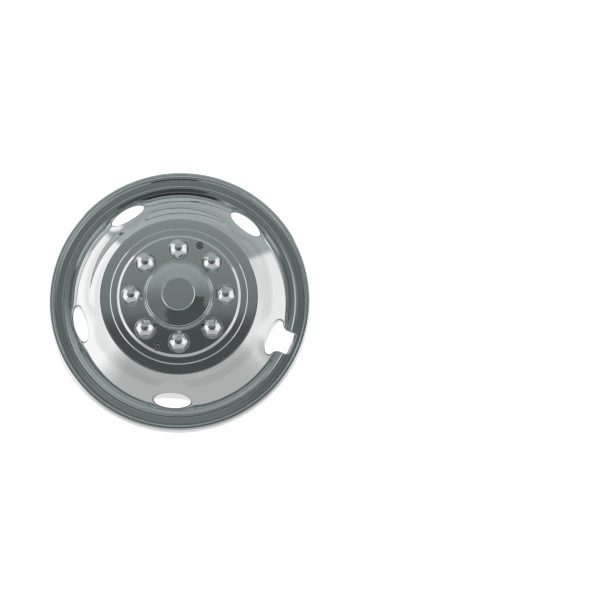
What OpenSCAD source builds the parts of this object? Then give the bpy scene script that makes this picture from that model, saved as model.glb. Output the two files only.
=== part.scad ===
// Wheel simulator for the front wheel of a truck with paired rear wheels. A pressed
// stainless liner covers the whole wheel. It carries eight lug covers and a snap-in hub
// cap, and two screws pull it against brackets that sit on the wheel's own studs.
// The part lies on its back. Z is the wheel's axis and points outward, Y is up on the
// wheel, and the origin is on the axis, in the plane that the back rests on.
// All sizes are in millimetres and all angles in degrees, counted from X towards Y. Each ring
// of the liner is given by its width, and they add up from the studs' circle to the lip, so a
// liner for a larger rim has a wider dome.

/* [Lug face] */
// Diameter of the circle that the wheel's studs lie on
lug_circle_d = 165.1; // [160:0.1:170]
// Height of the lug face above the rest plane
face_z = 55.5; // [50:0.1:66]
// Width of the lug face outside the studs' circle, to half way up the step around it
lug_margin = 24.25; // [22:0.25:28]
// Height of the step around the lug face
lug_face_step = 4.5; // [3.6:0.1:5.4]
// Width of the ring between that step and the low outer step
ring_w = 14; // [12:0.5:18]
// Height of the low outer step
outer_step = 1.7; // [1.4:0.1:2.4]
// Width from the low outer step to where the dome turns down
face_w = 18.3; // [15:0.1:24]

/* [Dome] */
// Thickness of the liner's sheet
sheet_t = 1; // [0.8:0.1:1.2]
// Width of the dome's shoulder
shoulder_w = 10.5; // [9:0.5:12]
// Share of the dome's height that the shoulder drops
shoulder_share = 0.215; // [0.19:0.005:0.235]
// Width of the dome's upper cone
waist_w = 17.4; // [15:0.1:20]
// Share of the dome's height that the upper cone drops
waist_share = 0.389; // [0.36:0.001:0.42]
// Width of the dome's lower cone
foot_w = 25.3; // [23:0.1:32]
// Height of the dome's foot above the floor of the well
foot_h = 1.2; // [0.8:0.1:2]

/* [Rim band] */
// Width of the flat floor of the well
well_w = 3.6; // [3:0.1:5]
// Width of the rise from the well to the crest of the inner rib
rib_w = 10.2; // [8.5:0.1:12]
// Height of the inner rib above the floor of the well
rib_h = 5.4; // [4.4:0.1:6.4]
// Width from the inner rib's crest to the gutter outside it
gutter_w = 4.6; // [3.8:0.1:6]
// Height of the gutter above the floor of the well
gutter_h = 2.8; // [2.2:0.1:3.4]
// Width of the sloping band from the gutter to the crest of the outer rib
band_w = 10.6; // [9:0.1:14]
// Height of the outer rib above the floor of the well
outer_rib_h = 6.4; // [5.4:0.1:7.4]
// Width from the outer rib's crest to the groove inside the lip
groove_w = 4.2; // [3.4:0.1:5]
// Height of the groove above the floor of the well
groove_h = 4.6; // [3.6:0.1:5]
// Width of the rolled lip, from the groove to its outside
lip_w = 8.6; // [7:0.1:10]
// Height of the lip's crest above the floor of the well
lip_h = 13; // [10.5:0.5:16]
// Height of the lip's edge above the floor of the well
lip_edge_h = 3; // [2:0.5:5]

/* [Hand holes] */
// Length of a hand hole around the wheel
hand_hole_l = 65; // [52:0.5:76]
// Width of a hand hole, seen along the axis
hand_hole_w = 25; // [20:0.5:28]
// Distance of a hand hole's middle from the outer edge of the well's floor
hand_hole_in = 14.7; // [13:0.1:16]
// Angle of the hand hole that the valve notch opens out of
hand_hole_turn = -22.5; // [-24:0.5:-21]
// Reach of the swelling around a hand hole past the well's floor
swelling_over = 2.5; // [1.5:0.1:3.5]
// Radius of the swelling at its foot
swelling_r = 75; // [66:1:84]
// Slope of the swelling, from the flat
swelling_slope = 36.5; // [34:0.5:37.5]

/* [Valve notch] */
// Width of the notch for the valve stem
notch_w = 40; // [32:0.5:44]
// Radius of the notch's corners
notch_corner = 3; // [2:0.5:5]
// Distance of the notch's fold from the crest of the outer rib
fold_in = 2.2; // [1.8:0.1:2.6]
// Width of the strip that is turned down at the notch's fold
strip_w = 5.6; // [4.4:0.1:6.6]
// Drop of the turned strip
strip_drop = 4; // [3.2:0.1:4.6]

/* [Lug covers] */
// Width of a lug cover across its flats
cover_af = 26.8; // [24:0.1:30]
// Height of a lug cover above the lug face
cover_h = 21.5; // [18:0.5:28]
// Width of a lug cover's flange outside the hexagon's corners
flange_w = 3.525; // [3:0.025:4.2]
// Height of the sloping flange
cover_flange_h = 3.4; // [2.7:0.1:4.2]
// Diameter of the round top of a lug cover
cover_top_d = 13; // [10.5:0.5:15.5]
// Slope of the chamfer around the top, from the flat
cover_slope = 43; // [38:1:48]
// Wall between the hexagon's flats and the socket that takes the stud and its nut
socket_wall = 2.4; // [2:0.1:2.8]
// Height of the chamfer above the socket's end, at the socket's wall
socket_roof = 5; // [4:0.5:8]
// Width of the flange's underside around the neck, where it rests on the liner
neck_in = 4.5; // [3.8:0.1:5.4]
// Length of the neck below the lug face
neck_l = 6; // [5:0.5:8]
// Clearance of the neck in its hole, on the radius
neck_gap = 0.5; // [0.3:0.1:0.8]
// Width of a push-on ring
retainer_w = 4; // [3.4:0.1:5]
// Thickness of a push-on ring
retainer_t = 0.8; // [0.6:0.1:1]

/* [Hub cap] */
// Clearance between the cap's foot and the lug covers' flanges
cap_gap = 1.55; // [1:0.05:2.5]
// Width of the rim at the cap's foot
cap_foot_w = 2.2; // [1.6:0.1:2.8]
// Width of the lug face under the cap, from its wall's outside to the hole for its skirt
cap_lap = 4.8; // [4:0.1:6]
// Height of the cap's shoulder above the lug face
cap_shoulder_h = 13; // [10.5:0.5:20]
// Width of the ledge around the cap's top
cap_ledge_w = 3.5; // [2.8:0.1:4.5]
// Height of the cap's top edge above the ledge
cap_step = 2.2; // [1.8:0.1:3]
// Rise of the crowned top, from its edge to the boss
cap_crown = 2.4; // [1.8:0.1:3]
// Share of the top's diameter that the boss's foot takes
boss_share = 0.513; // [0.42:0.001:0.6]
// Height of the boss
boss_h = 2.4; // [2:0.1:4]
// Wall of the cap
cap_wall = 2.4; // [2:0.1:2.8]
// Clearance of the cap's skirt in the liner, on the radius
skirt_gap = 0.5; // [0.3:0.1:0.8]
// Length of the skirt behind the lug face
skirt_l = 12; // [9:0.5:16]
// Diameter of the spring ring's wire
wire_d = 2.2; // [1.8:0.1:2.6]
// Opening of the spring ring
wire_gap_angle = 16; // [8:1:40]

/* [Brackets and screws] */
// Diameter of a screw's head
screw_head_d = 10.2; // [8.6:0.1:12]
// Height of a screw's head
screw_head_h = 2.4; // [2:0.1:2.8]
// Diameter of a screw's shank
screw_d = 4.8; // [4:0.1:5.4]
// Length of a screw under its head
screw_l = 16; // [13:0.5:24]
// Size of the cross recess across its arms
recess_d = 6.4; // [5.2:0.1:7.4]
// Clearance around a screw's head on the floor of its dimple, on the radius
dimple_gap = 0.35; // [0.25:0.05:0.6]
// Depth of the dimple
dimple_h = 1.8; // [1.5:0.1:2.1]
// Flat left between a dimple and the edge of the lug face
dimple_margin = 1.2; // [0.8:0.1:2]
// Clearance of a screw's shank in its holes, on the radius
screw_gap = 0.4; // [0.2:0.1:0.6]
// Thickness of the bracket's plate
bracket_t = 2.5; // [2:0.1:3]
// Width of the bracket's bar inside the studs' line, out to its edge
bar_in = 11; // [9:0.5:13]
// Diameter of the bracket's ears around the stud holes
ear_d = 30; // [25:0.5:34]
// Diameter of the stud holes
stud_hole_d = 14.8; // [14.2:0.1:17]
// Width of the bracket's post and of its flange
post_w = 26; // [21:0.5:30]
// Height of the bracket's foot above the rest plane
bracket_z = 24; // [20:0.5:30]
// Thickness of a clip nut's leaves
clip_t = 0.8; // [0.65:0.05:1]
// Width of a clip nut
clip_w = 14; // [11.5:0.5:17]
// Length of a clip nut's leaves inward of the screw
clip_l = 7; // [6:0.5:8]
// Clearance between a clip nut and the bracket's post
clip_gap = 2.7; // [2:0.1:3.5]
// Diameter of a clip nut's threaded collar
collar_d = 8.4; // [7.4:0.1:10]
// Height of the threaded collar
collar_h = 4; // [3:0.5:6]

/* [Hidden] */
$fn = 96;

// The wheel has eight studs, and the screws sit half way between two of them
lugs = 8;
lug_pitch = 360 / lugs;
screw_turns = [1.5 * lug_pitch, 5.5 * lug_pitch];
hand_holes = 5;
hand_hole_pitch = 360 / hand_holes;
// How far each lug cover happens to be turned on its neck
cover_turns = [41, 30, 30, 33, 13, 0, 0, 0];

// Distances from the axis, each counted outward from the circle of the studs
lug_r = lug_circle_d / 2;
lug_face_r = lug_r + lug_margin;
outer_step_r = lug_face_r + ring_w;
face_r = outer_step_r + face_w;
shoulder_r = face_r + shoulder_w;
waist_r = shoulder_r + waist_w;
foot_r = waist_r + foot_w;
well_r = foot_r + foot_h + well_w;
rib_r = well_r + rib_w;
gutter_r = rib_r + gutter_w;
outer_rib_r = gutter_r + band_w;
groove_r = outer_rib_r + groove_w;
lip_r = groove_r + lip_w;
fold_r = outer_rib_r - fold_in;
notch_end_r = fold_r - strip_w;
hand_hole_r = well_r - hand_hole_in;
swelling_reach = well_r + swelling_over;
// Outward slant of the lip's inner wall
lip_slant = 1.4;

// Heights above the rest plane
well_z = sheet_t;
under_face_z = face_z - sheet_t;
step_z = face_z - lug_face_step;
dome_top_z = step_z - outer_step;
dome_h = dome_top_z - well_z - foot_h;
shoulder_z = dome_top_z - shoulder_share * dome_h;
waist_z = shoulder_z - waist_share * dome_h;
// How far a cut runs past the face that it opens
past = 1;
// Depth in the sheet at which a swelling's sheet joins the liner's
joint_depth = sheet_t * 0.8;
// How far the turned strip laps under the rim band, and its clearance at its ends
strip_lap = 1.2;
strip_side_gap = 0.8;

// Rise of a lug cover's slightly domed top, and height of its flange's edge
cover_dome = 0.8;
cover_edge = 0.9;
// Turn of a cover's round forms, so that where they close is clear of the hexagon's corners
seam_turn = 17;
corner_r = cover_af / 2 / cos(30);
top_r = cover_top_d / 2;
flange_r = corner_r + flange_w;
neck_r = flange_r - neck_in;
socket_r = cover_af / 2 - socket_wall;
socket_h = cover_h - cover_dome - (socket_r - top_r) * tan(cover_slope) - socket_roof;
// Play of a push-on ring's teeth on the neck, and their length
tooth_play = 0.05;
tooth_l = 2.4;

// The screws stand near the edge of the lug face's flat, each in a dimple
flat_r = lug_face_r - lug_face_step / 2;
dimple_d = screw_head_d + 2 * dimple_gap + dimple_h;
screw_r = flat_r - dimple_margin - dimple_d / 2;
dimple_z = face_z - dimple_h;
flange_z = dimple_z - sheet_t - clip_t;
flange_end = flat_r - clip_t;
thread_gap = 0.1;
// Turn of the cross recess, so that its arms lie between X and Y of the wheel
recess_turn = lug_pitch / 2 - 45;

cap_r = lug_r - flange_r - cap_gap - cap_foot_w;
hub_hole_r = cap_r - cap_lap;
skirt_r = hub_hole_r - skirt_gap;
ledge_z = face_z + cap_shoulder_h;
cap_edge_r = cap_r - cap_ledge_w;
cap_edge_z = ledge_z + cap_step;
boss_foot_z = cap_edge_z + cap_crown;
boss_z = boss_foot_z + boss_h;
cavity_z = ledge_z - cap_wall;
boss_r = cap_edge_r * boss_share;
// Inward slant of the boss's wall for its height
boss_slant = 0.5;
// Width of the steeper part of the crown, and draft of the cap's walls over their height
crown_turn_w = cap_edge_r * 0.195;
cap_draft = 0.3;
cap_foot_h = 1.8;
// Play of the spring ring in its groove
wire_play = 0.1;
wire_z = under_face_z - wire_d / 2 - wire_play;
// Widest turn of one straight piece of a rounded corner
arc_step = 24;

function unit(v) = v / norm(v);
function wrap(angle) = (angle + 540) % 360 - 180;

// The rounded corner at q, on the way from p to s. The skin lies depth below the outside, and
// "below" is to the right of the way, so an outward bend gets tighter with depth.
function corner(p, q, s, radius, depth) =
    let (
        back = unit(p - q),
        on = unit(s - q),
        bend = sign(cross(q - p, s - q)),
        half = acos(back * on) / 2,
        middle = q + unit(back + on) * radius / sin(half),
        first = q + back * radius / tan(half) - middle,
        last = q + on * radius / tan(half) - middle,
        start = atan2(first.y, first.x),
        sweep = wrap(atan2(last.y, last.x) - start),
        pieces = max(1, ceil(abs(sweep) / arc_step))
    )
    [for (i = [0:pieces])
        let (angle = start + sweep * i / pieces)
        middle + (radius + bend * depth) * [cos(angle), sin(angle)]];

// A point of the way's open end, moved square to the way by depth
function end_point(p, q, at, depth) =
    let (way = unit(q - p)) at + depth * [way.y, -way.x];

// The whole way of stations [r, z, corner radius], depth below the outside
function skin(stations, depth) =
    let (n = len(stations), at = [for (s = stations) [s[0], s[1]]])
    concat(
        [end_point(at[0], at[1], at[0], depth)],
        [for (i = [1:n - 2]) each corner(at[i - 1], at[i], at[i + 1], stations[i][2], depth)],
        [end_point(at[n - 2], at[n - 1], at[n - 1], depth)]
    );

// Height of the rim band between its gutter and its outer rib
function band_z(r) = well_z + gutter_h + (r - gutter_r) / band_w * (outer_rib_h - gutter_h);

function reversed(list) = [for (i = [len(list) - 1:-1:0]) list[i]];

// Outside of the liner, from the hole in the middle to the edge of the lip
liner_stations = [
    [hub_hole_r, face_z, 0],
    [flat_r, face_z, 2],
    [flat_r + lug_face_step, step_z, 1.6],
    [outer_step_r - outer_step / 2, step_z, 1.4],
    [outer_step_r + outer_step / 2, dome_top_z, 1.4],
    [face_r, dome_top_z, 6],
    [shoulder_r, shoulder_z, 40],
    [waist_r, waist_z, 110],
    [foot_r, well_z + foot_h, 1.6],
    [foot_r + foot_h, well_z, 1.2],
    [well_r, well_z, 3],
    [rib_r, well_z + rib_h, 1.6],
    [gutter_r, well_z + gutter_h, 1.4],
    [outer_rib_r, well_z + outer_rib_h, 1.8],
    [groove_r, well_z + groove_h, 1.3],
    [groove_r + lip_slant, well_z + lip_h, lip_w * 0.3],
    [lip_r, well_z + lip_h, lip_w * 0.42],
    [lip_r, well_z + lip_edge_h, 0]
];

// The pressed sheet of the liner, without holes
module liner_sheet() {
    rotate_extrude()
        polygon(concat(skin(liner_stations, 0), reversed(skin(liner_stations, sheet_t))));
}

// Everything under the sheet, out to the inner rib
module liner_hollow(depth) {
    under = [for (p = skin(liner_stations, depth)) if (p.x < rib_r) p];
    rotate_extrude()
        polygon(concat(
            [[0, -past], [0, face_z - depth]],
            under,
            [[under[len(under) - 1].x, -past]]
        ));
}

// A low cone that swells out of the dome's foot around a hand hole
module swelling(depth) {
    r = swelling_r - depth / sin(swelling_slope);
    shrink = 1 / tan(swelling_slope);
    translate([swelling_reach - swelling_r, 0, -past])
        cylinder(
            r1 = r + (well_z + past) * shrink,
            r2 = r - (shoulder_z - well_z) * shrink,
            h = shoulder_z + past
        );
}

module at_hand_holes() {
    for (i = [0:hand_holes - 1])
        rotate(hand_hole_turn + i * hand_hole_pitch)
            children();
}

// The swelling as sheet, down to the depth in the dome and the well where it joins them
module swelling_sheet() {
    difference() {
        swelling(0);
        liner_hollow(joint_depth);
        swelling(sheet_t);
    }
}

module hand_hole() {
    translate([hand_hole_r, 0, -past])
        scale([hand_hole_w / 2, hand_hole_l / 2, 1])
            cylinder(r = 1, h = face_z);
}

// Slot from the hand hole out to rounded corners and an end that follows the rim
module valve_notch() {
    half_turn = asin(notch_w / 2 / fold_r);
    way = [
        [hand_hole_r, -notch_w / 2],
        for (i = [-2:2]) fold_r * [cos(i * half_turn / 2), sin(i * half_turn / 2)],
        [hand_hole_r, notch_w / 2]
    ];
    rotate(hand_hole_turn)
        translate([0, 0, -past])
            linear_extrude(shoulder_z)
                polygon([
                    way[0],
                    each corner(way[0], way[1], way[2], notch_corner, 0),
                    way[2], way[3], way[4],
                    each corner(way[4], way[5], way[6], notch_corner, 0),
                    way[6]
                ]);
}

// The strip at the notch's end, turned down from the rim band
module notch_strip() {
    outer = [fold_r + strip_lap, band_z(fold_r + strip_lap) - sheet_t * 0.4];
    inner = [notch_end_r, band_z(fold_r) - strip_drop];
    rotate(hand_hole_turn)
        intersection() {
            rotate_extrude()
                polygon([
                    inner, outer,
                    end_point(inner, outer, outer, sheet_t * 0.9),
                    end_point(inner, outer, inner, sheet_t * 0.9)
                ]);
            translate([0, -notch_w / 2 + strip_side_gap, -past])
                cube([lip_r, notch_w - 2 * strip_side_gap, shoulder_z]);
        }
}

module at_lugs() {
    for (i = [0:lugs - 1])
        rotate(i * lug_pitch)
            translate([lug_r, 0, 0])
                children();
}

module at_screws() {
    for (turn = screw_turns)
        rotate(turn)
            translate([screw_r, 0, 0])
                children();
}

// A dimple's floor and wall, let into the lug face
module dimple_cup() {
    translate([0, 0, dimple_z - sheet_t])
        cylinder(
            d1 = dimple_d - dimple_h + sheet_t,
            d2 = dimple_d + sheet_t,
            h = dimple_h + sheet_t / 2
        );
}

module dimple_cut() {
    translate([0, 0, dimple_z])
        cylinder(d1 = dimple_d - dimple_h, d2 = dimple_d + past, h = dimple_h + past);
    translate([0, 0, dimple_z - sheet_t - past])
        cylinder(r = screw_d / 2 + screw_gap, h = sheet_t + 2 * past);
}

module wheel_liner() {
    color([0.72, 0.74, 0.74]) {
        difference() {
            union() {
                difference() {
                    liner_sheet();
                    at_hand_holes() swelling(joint_depth);
                }
                at_hand_holes() swelling_sheet();
                at_screws() dimple_cup();
            }
            at_hand_holes() hand_hole();
            valve_notch();
            at_lugs()
                translate([0, 0, under_face_z - past])
                    cylinder(r = neck_r + neck_gap, h = sheet_t + 2 * past);
            at_screws() dimple_cut();
        }
        notch_strip();
    }
}

// The cap is one moulding: a wall and crowned top outside, and a skirt inside them that
// goes through the liner and is bored to clear the wheel's hub
module hub_cap() {
    outside = skin(
        [
            [0, boss_z, 0],
            [boss_r - boss_h * boss_slant, boss_z, 0.7],
            [boss_r, boss_foot_z, 0.5],
            [cap_edge_r - crown_turn_w, cap_edge_z + cap_crown / 2, 90],
            [cap_edge_r, cap_edge_z, 1.2],
            [cap_edge_r + cap_draft, ledge_z, 0.7],
            [cap_r, ledge_z, 1.6],
            [cap_r + cap_draft, face_z + cap_foot_h, 0.8],
            [cap_r + cap_foot_w, face_z + cap_foot_h, 0.7],
            [cap_r + cap_foot_w, face_z, 0]
        ],
        0
    );
    groove_z = wire_z - wire_d / 2 - wire_play;
    groove_top = wire_z + wire_d / 2 + wire_play;
    inside = [
        [cap_r - cap_wall, face_z],
        [cap_r - cap_wall, ledge_z - cap_wall],
        [skirt_r, ledge_z - cap_wall],
        [skirt_r, groove_top],
        [skirt_r - wire_d / 2, groove_top],
        [skirt_r - wire_d / 2, groove_z],
        [skirt_r, groove_z],
        [skirt_r, face_z - skirt_l],
        [skirt_r - cap_wall, face_z - skirt_l],
        [skirt_r - cap_wall, cavity_z],
        [0, cavity_z]
    ];
    color([0.62, 0.65, 0.66])
    rotate_extrude()
        polygon(concat(outside, inside));
}

// Round wire in the skirt's groove, proud enough to catch behind the liner
module hub_cap_snap_ring() {
    color([0.35, 0.36, 0.37])
    rotate(wire_gap_angle / 2 - 90)
        translate([0, 0, wire_z])
            rotate_extrude(angle = 360 - wire_gap_angle)
                translate([skirt_r + wire_play / 2, 0])
                    circle(d = wire_d);
}

// Lug cover in its own place: a hexagon with a chamfered, slightly domed top on a sloping
// round flange, and below the face a neck. The socket from behind takes a stud and nut.
module lug_cover(number) {
    side_r = corner_r + past;
    crown = skin(
        [
            [0, face_z + cover_h, 0],
            [top_r, face_z + cover_h - cover_dome, 3],
            [side_r, face_z + cover_h - cover_dome - (side_r - top_r) * tan(cover_slope), 0]
        ],
        0
    );
    color([0.80, 0.81, 0.81])
    rotate((number - 1) * lug_pitch)
        translate([lug_r, 0, 0])
            rotate(cover_turns[number - 1] - (number - 1) * lug_pitch)
                difference() {
                    union() {
                        intersection() {
                            translate([0, 0, face_z])
                                cylinder(r = corner_r, h = cover_h, $fn = 6);
                            rotate(seam_turn)
                                rotate_extrude()
                                    polygon(concat(crown, [[side_r, face_z], [0, face_z]]));
                        }
                        rotate(seam_turn)
                            rotate_extrude()
                                polygon([
                                    [0, face_z],
                                    [flange_r, face_z],
                                    [flange_r, face_z + cover_edge],
                                    [cover_af / 2, face_z + cover_flange_h],
                                    [0, face_z + cover_flange_h]
                                ]);
                        translate([0, 0, face_z - neck_l])
                            cylinder(r = neck_r, h = neck_l + past);
                    }
                    translate([0, 0, face_z - neck_l - past])
                        cylinder(r = socket_r, h = neck_l + past + socket_h);
                }
}

// Push-on ring of spring steel behind the liner, with teeth that bite on the cover's neck
module lug_cover_retainer(number) {
    tooth_gap_w = 5;
    teeth = 6;
    color([0.35, 0.36, 0.37])
    rotate((number - 1) * lug_pitch)
        translate([lug_r, 0, under_face_z - retainer_t])
            difference() {
                cylinder(r = neck_r + retainer_w, h = retainer_t);
                translate([0, 0, -past])
                    cylinder(r = neck_r + tooth_play, h = retainer_t + 2 * past);
                for (i = [0:teeth - 1])
                    rotate(i * 360 / teeth)
                        translate([0, -tooth_gap_w / 2, -past])
                            cube([neck_r + tooth_l, tooth_gap_w, retainer_t + 2 * past]);
            }
}

// Cross-recess screw with a low conical head
module face_screw(number) {
    arm_w = screw_head_d / 8;
    color([0.45, 0.47, 0.47])
    rotate(screw_turns[number - 1])
        translate([screw_r, 0, dimple_z])
            difference() {
                union() {
                    rotate_extrude()
                        polygon([
                            [0, 0],
                            [screw_head_d / 2, 0],
                            [screw_head_d / 2, screw_head_h * 0.35],
                            [screw_head_d / 2 - screw_head_h * 0.5, screw_head_h * 0.9],
                            [0, screw_head_h]
                        ]);
                    translate([0, 0, -screw_l])
                        cylinder(d = screw_d, h = screw_l + past);
                }
                for (turn = [recess_turn, recess_turn + 90])
                    rotate(turn)
                        translate([-recess_d / 2, -arm_w / 2, screw_head_h * 0.35])
                            cube([recess_d, arm_w, screw_head_h]);
            }
}

// Folded plate: a bar with an ear on each of two studs, a post, and a flange for the screw
module mounting_bracket(number) {
    stud_x = lug_r * cos(lug_pitch / 2);
    stud_y = lug_r * sin(lug_pitch / 2);
    bar_x = stud_x - bar_in;
    post_end = screw_r - clip_l - clip_gap;
    post_x = post_end - bracket_t;
    color([0.58, 0.57, 0.50])
    rotate(screw_turns[number - 1])
        difference() {
            union() {
                translate([bar_x, -stud_y, bracket_z])
                    cube([post_end - bar_x, 2 * stud_y, bracket_t]);
                for (side = [-1, 1])
                    translate([stud_x, side * stud_y, bracket_z])
                        cylinder(d = ear_d, h = bracket_t);
                translate([post_x, -post_w / 2, bracket_z])
                    cube([bracket_t, post_w, flange_z - bracket_z]);
                translate([post_x, -post_w / 2, flange_z - bracket_t])
                    cube([flange_end - post_x, post_w, bracket_t]);
            }
            for (side = [-1, 1])
                translate([stud_x, side * stud_y, bracket_z - past])
                    cylinder(d = stud_hole_d, h = bracket_t + 2 * past);
            translate([screw_r, 0, flange_z - bracket_t - past])
                cylinder(r = screw_d / 2 + screw_gap, h = bracket_t + 2 * past);
        }
}

// U-shaped nut of spring steel around the flange's end, with a threaded collar below it
module clip_nut(number) {
    inner_x = screw_r - clip_l;
    lower_z = flange_z - bracket_t - clip_t;
    color([0.40, 0.41, 0.40])
    rotate(screw_turns[number - 1])
        difference() {
            union() {
                for (leaf_z = [lower_z, flange_z])
                    translate([inner_x, -clip_w / 2, leaf_z])
                        cube([flange_end + clip_t - inner_x, clip_w, clip_t]);
                translate([flange_end, -clip_w / 2, lower_z])
                    cube([clip_t, clip_w, bracket_t + 2 * clip_t]);
                translate([screw_r, 0, lower_z - collar_h])
                    cylinder(d = collar_d, h = collar_h + clip_t / 2);
            }
            translate([screw_r, 0, lower_z - collar_h - past])
                cylinder(
                    r = screw_d / 2 + thread_gap,
                    h = collar_h + bracket_t + 2 * clip_t + 2 * past
                );
        }
}

wheel_liner();
hub_cap();
hub_cap_snap_ring();
lug_cover(1);  // lug_cover_1
lug_cover(2);  // lug_cover_2
lug_cover(3);  // lug_cover_3
lug_cover(4);  // lug_cover_4
lug_cover(5);  // lug_cover_5
lug_cover(6);  // lug_cover_6
lug_cover(7);  // lug_cover_7
lug_cover(8);  // lug_cover_8
lug_cover_retainer(1);  // lug_cover_retainer_1
lug_cover_retainer(2);  // lug_cover_retainer_2
lug_cover_retainer(3);  // lug_cover_retainer_3
lug_cover_retainer(4);  // lug_cover_retainer_4
lug_cover_retainer(5);  // lug_cover_retainer_5
lug_cover_retainer(6);  // lug_cover_retainer_6
lug_cover_retainer(7);  // lug_cover_retainer_7
lug_cover_retainer(8);  // lug_cover_retainer_8
face_screw(1);  // face_screw_1
face_screw(2);  // face_screw_2
mounting_bracket(1);  // mounting_bracket_1
mounting_bracket(2);  // mounting_bracket_2
clip_nut(1);  // clip_nut_1
clip_nut(2);  // clip_nut_2
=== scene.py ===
import math

import bpy
import numpy as np
from mathutils import Matrix, Vector


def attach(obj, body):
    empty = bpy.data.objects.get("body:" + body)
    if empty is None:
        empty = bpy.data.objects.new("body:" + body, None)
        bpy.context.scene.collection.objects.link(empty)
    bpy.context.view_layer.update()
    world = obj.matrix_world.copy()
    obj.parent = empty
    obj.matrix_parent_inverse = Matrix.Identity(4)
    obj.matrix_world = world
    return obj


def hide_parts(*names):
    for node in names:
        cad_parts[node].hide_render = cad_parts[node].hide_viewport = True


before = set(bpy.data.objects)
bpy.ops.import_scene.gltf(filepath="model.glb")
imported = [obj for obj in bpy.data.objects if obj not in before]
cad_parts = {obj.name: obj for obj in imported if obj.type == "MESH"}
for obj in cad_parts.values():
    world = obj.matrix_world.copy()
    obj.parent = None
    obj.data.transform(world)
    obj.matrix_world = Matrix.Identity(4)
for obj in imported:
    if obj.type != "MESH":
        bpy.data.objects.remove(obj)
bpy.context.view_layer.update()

# Wheel liner: one sheet of stainless steel, pressed to the dome, the well and the ribbed rim
# band, pierced for hands, valve, studs and hub, and polished to a mirror. All lengths are in
# millimetres until a mesh is made. The wheel's axis is Z.
MM = 0.001
SHEET = 1.0
FACE_Z = 55.5
STUDS = 8
STUD_CIRCLE_R = 82.55
SCREW_TURNS = (67.5, 247.5)
SCREW_R = 97.0
LIP_R = 235.3


def rounded_way(stations, turn=8.0, spacing=lambda r: 3.0):
    """Points (r, z, heading) along stations (r, z, corner radius), for a way turned about Z."""
    at = [np.array(s[:2], float) for s in stations]
    legs = [(at[0], None)]
    for i in range(1, len(at) - 1):
        back, on = at[i - 1] - at[i], at[i + 1] - at[i]
        back, on = back / np.linalg.norm(back), on / np.linalg.norm(on)
        half = math.acos(max(-1.0, min(1.0, back @ on))) / 2
        radius = stations[i][2]
        centre = at[i] + (back + on) / np.linalg.norm(back + on) * radius / math.sin(half)
        legs.append((at[i] + back * radius / math.tan(half), None))
        legs.append((at[i] + on * radius / math.tan(half), centre))
    legs.append((at[-1], None))
    points = []
    for (a, _), (b, centre) in zip(legs, legs[1:]):
        if centre is None:
            heading = math.atan2(*(b - a)[::-1])
            steps = max(1, round(np.linalg.norm(b - a) / spacing((a[0] + b[0]) / 2)))
            points += [(*(a + (b - a) * k / steps), heading) for k in range(steps + 1)]
        else:
            start, end = (math.atan2(*(p - centre)[::-1]) for p in (a, b))
            sweep = (end - start + math.pi) % (2 * math.pi) - math.pi
            steps = max(2, round(abs(math.degrees(sweep)) / turn))
            side = math.copysign(math.pi / 2, sweep)
            radius = np.linalg.norm(a - centre)
            for k in range(1, steps):
                angle = start + sweep * k / steps
                points.append((
                    centre[0] + radius * math.cos(angle),
                    centre[1] + radius * math.sin(angle),
                    angle + side,
                ))
    kept = [points[0]]
    for p in points[1:]:
        if math.hypot(p[0] - kept[-1][0], p[1] - kept[-1][1]) > 1e-4:
            kept.append(p)
    return np.array(kept)


WELL_Z = SHEET
FOOT_Z = WELL_Z + 1.2
STEP_Z = FACE_Z - 4.5
DOME_TOP_Z = STEP_Z - 1.7
SHOULDER_Z = DOME_TOP_Z - 0.215 * (DOME_TOP_Z - FOOT_Z)
WAIST_Z = SHOULDER_Z - 0.389 * (DOME_TOP_Z - FOOT_Z)
LINER_STATIONS = [
    (55.0, FACE_Z, 0), (104.55, FACE_Z, 2.0), (109.05, STEP_Z, 1.6),
    (119.95, STEP_Z, 1.4), (121.65, DOME_TOP_Z, 1.4), (139.1, DOME_TOP_Z, 6.0),
    (149.6, SHOULDER_Z, 40.0), (167.0, WAIST_Z, 110.0), (192.3, FOOT_Z, 1.6),
    (193.5, WELL_Z, 1.0), (195.7, WELL_Z, 1.0), (200.0, WELL_Z + 3.7, 3.0), (206.9, WELL_Z + 5.4, 1.0),
    (209.9, WELL_Z + 2.9, 1.0), (212.6, WELL_Z + 2.9, 3.0), (222.2, WELL_Z + 6.4, 1.0),
    (225.0, WELL_Z + 4.6, 0.8), (226.7, WELL_Z + 4.6, 0.8), (228.1, WELL_Z + 13.0, 1.4),
    (LIP_R, WELL_Z + 13.0, 5.4), (LIP_R, WELL_Z + 3.0, 0),
]
RIB_BAND = (208, 224)
SHEET_FIELD_R = 227.0
liner_way = rounded_way(LINER_STATIONS, 13.0, lambda r: 1.3 if RIB_BAND[0] < r < RIB_BAND[1] else 3.2)
fine_way = rounded_way(LINER_STATIONS, 0.25, lambda r: 1.0)
fine_way = fine_way[fine_way[:, 0] < SHEET_FIELD_R + 0.5]

# Hand holes, each in a low cone that swells out of the dome's foot; the first one is joined to
# the notch for the valve, which has a turned strip at its outer end.
HAND_HOLES = 5
HAND_HOLE_TURN = -22.5
HAND_HOLE_R = 182.4
HAND_HOLE_HALF = (12.5, 32.5)
NOTCH_HALF = 20.0
NOTCH_END_R = 214.7
STRIP_R = 220.4
hole_turns = [math.radians(HAND_HOLE_TURN + 72 * i) for i in range(HAND_HOLES)]
SWELL_R, SWELL_CENTRE, SWELL_SLOPE = 75.0, 124.6, math.tan(math.radians(36.5))
SWELL_BAND, SWELL_BLEND = (150, 207), 4.5
STRIP_SLOPE, STRIP_HALF = 0.72, 20.6
HOLE_MARGIN, LUG_HOLE_R = 3.6, 15.0
DIMPLE_HOLE_R, DIMPLE_MARGIN, DIMPLE_DEPTH = 2.8, 6.2, 1.8


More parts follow.
